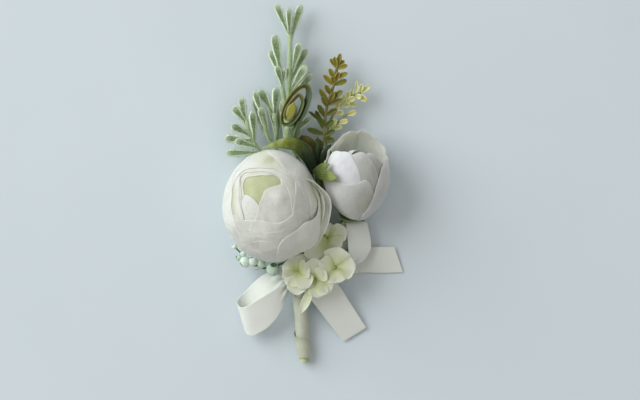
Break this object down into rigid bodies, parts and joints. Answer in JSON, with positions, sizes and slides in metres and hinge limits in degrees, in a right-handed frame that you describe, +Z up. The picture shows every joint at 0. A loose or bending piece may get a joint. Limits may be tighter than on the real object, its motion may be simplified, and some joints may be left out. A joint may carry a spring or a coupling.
{
  "type": "boutonniere",
  "caption": "Boutonniere lying on its back: a full white bloom and a half-open bud with leafy sprigs, small florets and berries, tied with an ivory ribbon bow.",
  "frame": {"origin": "bottom centre of the whole bunch, on the surface that it lies on", "axes": "+Y runs from the cut stem end up to the leaf tips, +Z points up to the side that shows when worn, +X to the right seen from above"},
  "size_m": [0.0725, 0.1442, 0.0336],
  "materials": {
    "stem_tape": "pale green floral tape wound on wire stems",
    "ribbon": "ivory satin ribbon with a soft sheen across its weave",
    "bloom_petal": "white silk petals, pale yellow green in the heart",
    "bud_petal": "white silk petals with greenish grey inner faces",
    "calyx": "moulded green calyx",
    "flocked_leaf": "sage green flocked leaves with paler edges",
    "olive_leaf": "olive brown moulded leaves",
    "lime_leaf": "yellow green moulded leaves",
    "curled_strap": "dark green strap leaf, olive to yellow towards its heart",
    "green_leaf": "green leaf with fine parallel veins",
    "brown_leaf": "olive brown leaf with a soft gloss",
    "floret": "thin cream florets, pale green at the centre",
    "berry": "mint green berries with a matt bloom"
  },
  "bodies": {
    "root": {"stem_core": "stem_tape", "stem_wrap": "ribbon", "bow_band": "ribbon", "bow_loop_left": "ribbon", "bow_loop_right": "ribbon", "bow_tail_side": "ribbon", "bow_tail_low": "ribbon", "bloom_petals": "bloom_petal", "bloom_calyx": "calyx", "bud_petals": "bud_petal", "bud_calyx": "calyx", "flocked_sprig_tall": "flocked_leaf", "flocked_sprig_left": "flocked_leaf", "flocked_sprig_middle": "flocked_leaf", "olive_sprig": "olive_leaf", "lime_sprig": "lime_leaf", "curled_leaf": "curled_strap", "broad_leaf": "green_leaf", "brown_leaf": "brown_leaf", "pointed_leaf": "green_leaf", "narrow_leaf": "green_leaf", "floret_right": "floret", "floret_upper": "floret", "floret_middle": "floret", "floret_lower": "floret", "berry_spray": "berry"}
  },
  "joints": []
}
